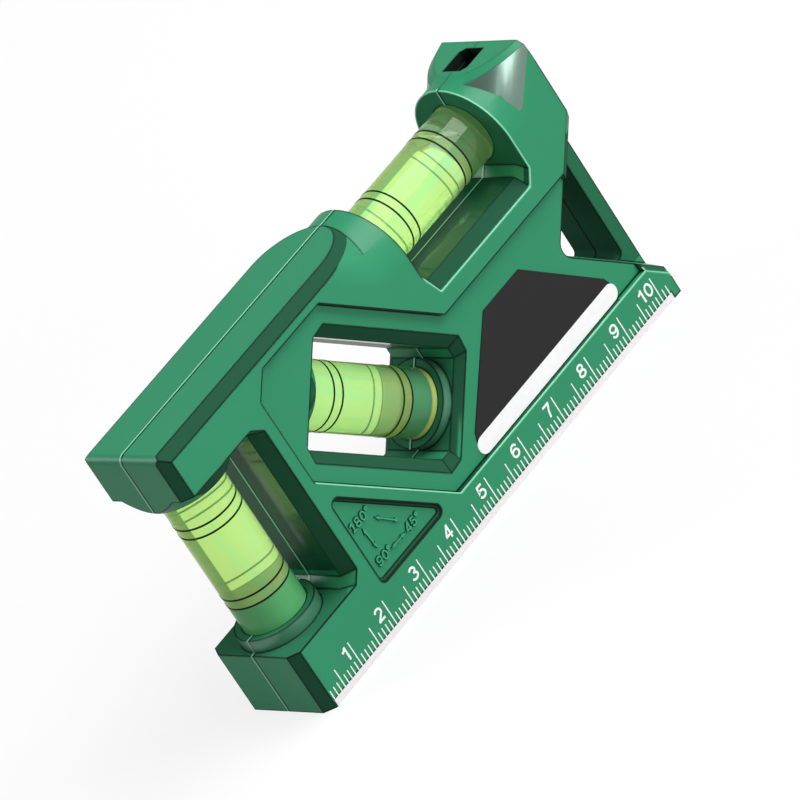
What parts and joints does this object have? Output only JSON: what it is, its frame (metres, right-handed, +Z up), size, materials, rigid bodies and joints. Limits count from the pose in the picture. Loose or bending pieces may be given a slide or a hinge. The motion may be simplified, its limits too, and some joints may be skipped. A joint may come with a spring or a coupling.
{
  "type": "magnetic spirit level",
  "caption": "Pocket spirit level with a level, a plumb and a 45 degree vial in a moulded housing, a printed millimetre ruler and a magnet strip along its base.",
  "frame": {"origin": "middle of the base, on the surface that the level rests on", "axes": "+X along the ruler from its zero end to the far end, +Y from the front face with the ruler to the rear, +Z up"},
  "size_m": [0.1042, 0.0212, 0.0552],
  "materials": {
    "green_plastic": "satin moulded plastic",
    "magnet": "pale coated magnet strip",
    "label_dark": "printed film",
    "label_light": "printed film",
    "white_print": "printed ink",
    "black_print": "printed ink",
    "clear_acrylic": "clear polished acrylic",
    "vial_liquid": "clear tinted liquid"
  },
  "bodies": {
    "root": {"front_shell": "green_plastic", "rear_shell": "green_plastic", "magnet_strip": "magnet", "label": "label_dark", "label_strip": "label_light", "ruler_marks": "white_print", "level_tube": "clear_acrylic", "level_plug": "clear_acrylic", "level_liquid": "vial_liquid", "level_rings": "black_print", "plumb_tube": "clear_acrylic", "plumb_plug": "clear_acrylic", "plumb_liquid": "vial_liquid", "plumb_rings": "black_print", "angle_tube": "clear_acrylic", "angle_plug": "clear_acrylic", "angle_liquid": "vial_liquid", "angle_rings": "black_print"}
  },
  "joints": []
}
